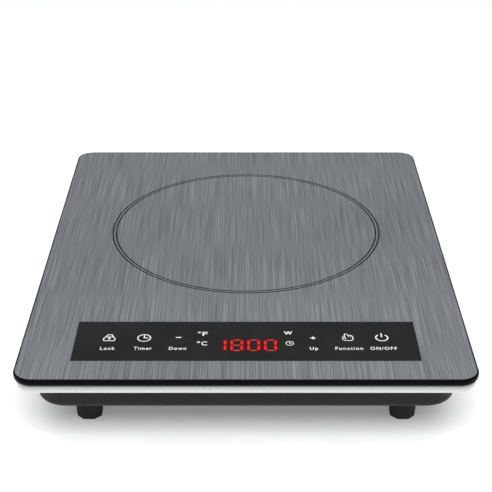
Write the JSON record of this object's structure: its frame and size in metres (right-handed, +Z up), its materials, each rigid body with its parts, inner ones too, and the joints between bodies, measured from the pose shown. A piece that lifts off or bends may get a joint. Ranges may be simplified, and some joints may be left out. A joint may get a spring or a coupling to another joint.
{
  "type": "induction cooktop",
  "caption": "Portable single-zone induction cooktop: flat glass top with rounded corners and touch panel on a white frame, charcoal tray housing and feet.",
  "frame": {"origin": "centre of the footprint, in the plane of the feet on the table", "axes": "+Z up; +Y to the rear, along the longest side; -Y is the front with the touch panel; +X to the right seen from the front"},
  "size_m": [0.288, 0.358, 0.052],
  "materials": {
    "decor_glass": "clear toughened glass, back-printed with a dark brushed-grey pattern, gloss",
    "black_silicone": "black silicone bead",
    "white_gloss": "white gloss moulding",
    "charcoal_plastic": "charcoal moulding, fine texture",
    "foot_rubber": "dark grey rubber",
    "screw_steel": "zinc-plated steel",
    "black_rubber": "black flexible plastic",
    "coil_plastic": "heat-resistant natural plastic",
    "copper": "enamelled copper wire",
    "ferrite": "dark sintered ferrite",
    "mica": "mica insulating sheet",
    "silicone_red": "red silicone",
    "silicone_white": "white silicone",
    "red_sleeving": "red insulated wire",
    "brass": "plain brass",
    "power_board": "single-sided phenolic board",
    "aluminium": "extruded aluminium",
    "black_resin": "black moulded resin",
    "red_film": "red film capacitor case",
    "yellow_film": "yellow film capacitor case and tape",
    "green_enamel": "green winding on a ferrite ring",
    "capacitor_sleeve": "dark printed sleeve on an aluminium can",
    "fuse_glass": "glass tube with metal caps",
    "blue_epoxy": "blue epoxy coating",
    "nylon_natural": "natural nylon",
    "black_plastic": "black moulding",
    "lamination_steel": "stacked steel laminations",
    "shaft_steel": "ground steel",
    "control_board": "green solder mask",
    "display_module": "black LED display housing with red segments"
  },
  "bodies": {
    "base": {"glass_plate": "decor_glass", "glass_gasket": "black_silicone", "top_frame": "white_gloss", "base_housing": "charcoal_plastic", "foot_front_left": "foot_rubber", "foot_front_right": "foot_rubber", "foot_rear_left": "foot_rubber", "foot_rear_right": "foot_rubber", "housing_screws": "screw_steel", "cord_grommet": "black_rubber", "coil_former": "coil_plastic", "coil_winding": "copper", "ferrite_bars": "ferrite", "mica_sheet": "mica", "coil_pads": "silicone_red", "coil_screws": "screw_steel", "thermistor_holder": "silicone_white", "coil_thermistor": "ferrite", "thermistor_lead": "silicone_white", "coil_leads": "red_sleeving", "coil_terminals": "brass", "power_pcb": "power_board", "pcb_screws": "screw_steel", "heatsink": "aluminium", "heatsink_screws": "screw_steel", "igbt": "black_resin", "bridge_rectifier": "black_resin", "resonant_capacitor": "red_film", "dc_link_capacitor": "yellow_film", "emi_capacitor": "yellow_film", "common_mode_choke": "green_enamel", "bus_inductor": "copper", "flyback_transformer": "yellow_film", "electrolytic_capacitors": "capacitor_sleeve", "fuse": "fuse_glass", "varistor": "blue_epoxy", "control_chips": "black_resin", "buzzer": "black_resin", "pcb_connectors": "nylon_natural", "mains_terminals": "brass", "fan_frame": "black_plastic", "fan_screws": "screw_steel", "fan_bearing": "brass", "fan_stator": "lamination_steel", "fan_windings": "copper", "fan_lead": "red_sleeving", "control_bracket": "charcoal_plastic", "control_pcb": "control_board", "control_screws": "screw_steel", "led_display": "display_module", "touch_springs": "screw_steel", "indicator_leds": "nylon_natural", "ribbon_cable": "nylon_natural"},
    "fan_rotor": {"fan_shaft": "shaft_steel", "fan_impeller": "black_plastic", "fan_magnet": "ferrite"}
  },
  "joints": [
    {"name": "fan_spin", "type": "hinge", "parent": "base", "child": "fan_rotor", "pos_m": [0.062, -0.07, 0.0225], "axis": [0, 0, 1], "continuous": true}
  ]
}
